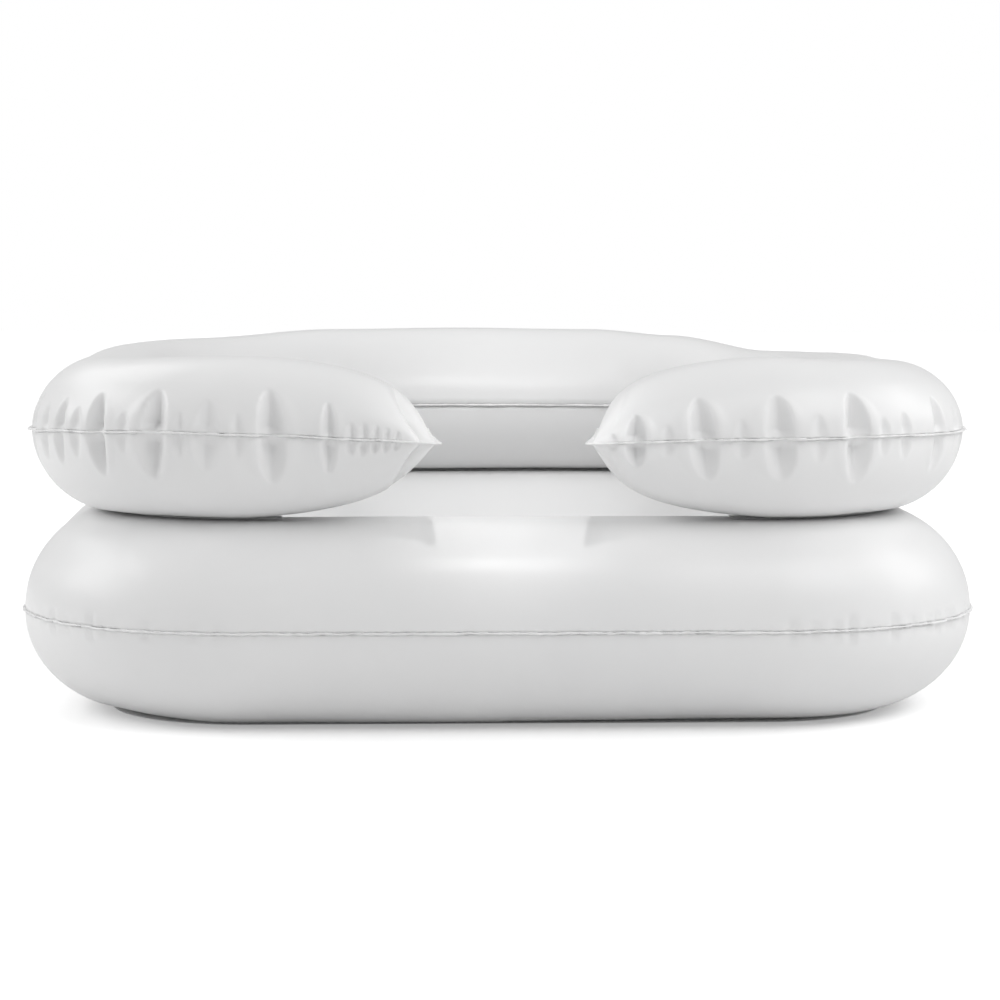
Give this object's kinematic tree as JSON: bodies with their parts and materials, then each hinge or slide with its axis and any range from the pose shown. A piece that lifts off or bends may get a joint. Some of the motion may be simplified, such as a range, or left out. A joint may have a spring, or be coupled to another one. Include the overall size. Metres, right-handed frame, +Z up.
{
  "type": "inflatable camp pillow",
  "caption": "Inflatable two-tier white vinyl ring with a notched upper collar, a floor and a small head pad, for resting or washing the head while lying down.",
  "frame": {"origin": "on the ground under the middle of the outline", "axes": "+X across the width, +Y from the neck gap to the back, +Z up"},
  "size_m": [0.605, 0.505, 0.2238],
  "materials": {
    "film": "glossy soft white PVC film",
    "clear_fitting": "milky clear soft PVC",
    "soft_fitting": "satin soft white PVC"
  },
  "bodies": {
    "shell": {"floor_sheet": "film", "base_lower_film": "film", "base_upper_film": "film", "tier_weld_strip": "film", "collar_lower_film": "film", "collar_upper_film": "film", "head_pad_lower_film": "film", "head_pad_upper_film": "film", "drain_socket": "clear_fitting", "base_valve_flange": "clear_fitting", "collar_valve_flange": "clear_fitting", "head_pad_valve_flange": "clear_fitting"},
    "base_valve_stem": {"base_valve_stem": "soft_fitting"},
    "base_valve_cap": {"base_valve_cap": "soft_fitting"},
    "base_valve_flap": {"base_valve_flap": "clear_fitting"},
    "collar_valve_stem": {"collar_valve_stem": "soft_fitting"},
    "collar_valve_cap": {"collar_valve_cap": "soft_fitting"},
    "collar_valve_flap": {"collar_valve_flap": "clear_fitting"},
    "head_pad_valve_stem": {"head_pad_valve_stem": "soft_fitting"},
    "head_pad_valve_cap": {"head_pad_valve_cap": "soft_fitting"},
    "head_pad_valve_flap": {"head_pad_valve_flap": "clear_fitting"},
    "drain_stopper": {"drain_stopper": "soft_fitting"}
  },
  "joints": [
    {"name": "base_valve_pull", "type": "slide", "parent": "shell", "child": "base_valve_stem", "axis": [0, 0.8088, 0.588], "range_m": [0, 0.007]},
    {"name": "base_cap_hinge", "type": "hinge", "parent": "base_valve_stem", "child": "base_valve_cap", "pos_m": [0, 0.23279, 0.10972], "axis": [1, 0, 0], "range_deg": [0, 150]},
    {"name": "base_flap_hinge", "type": "hinge", "parent": "base_valve_stem", "child": "base_valve_flap", "pos_m": [0, 0.22634, 0.09835], "axis": [-1, 0, 0], "range_deg": [0, 60], "stiffness_Nm_per_rad": 0.0001, "springref_deg": -17.19},
    {"name": "collar_valve_pull", "type": "slide", "parent": "shell", "child": "collar_valve_stem", "axis": [0, 0.809, 0.5878], "range_m": [0, 0.007]},
    {"name": "collar_cap_hinge", "type": "hinge", "parent": "collar_valve_stem", "child": "collar_valve_cap", "pos_m": [0, 0.22671, 0.21426], "axis": [1, 0, 0], "range_deg": [0, 150]},
    {"name": "collar_flap_hinge", "type": "hinge", "parent": "collar_valve_stem", "child": "collar_valve_flap", "pos_m": [0, 0.22026, 0.2029], "axis": [-1, 0, 0], "range_deg": [0, 60], "stiffness_Nm_per_rad": 0.0001, "springref_deg": -17.19},
    {"name": "head_pad_valve_pull", "type": "slide", "parent": "shell", "child": "head_pad_valve_stem", "axis": [0, 0.5719, 0.8203], "range_m": [0, 0.007]},
    {"name": "head_pad_cap_hinge", "type": "hinge", "parent": "head_pad_valve_stem", "child": "head_pad_valve_cap", "pos_m": [0, 0.01287, 0.05114], "axis": [1, 0, 0], "range_deg": [0, 150]},
    {"name": "head_pad_flap_hinge", "type": "hinge", "parent": "head_pad_valve_stem", "child": "head_pad_valve_flap", "pos_m": [0, 0.0105, 0.03829], "axis": [-1, 0, 0], "range_deg": [0, 60], "stiffness_Nm_per_rad": 0.0001, "springref_deg": -17.19},
    {"name": "drain_stopper_hinge", "type": "hinge", "parent": "shell", "child": "drain_stopper", "pos_m": [0, 0.098, 0.00695], "axis": [-1, 0, 0], "range_deg": [0, 150]}
  ]
}
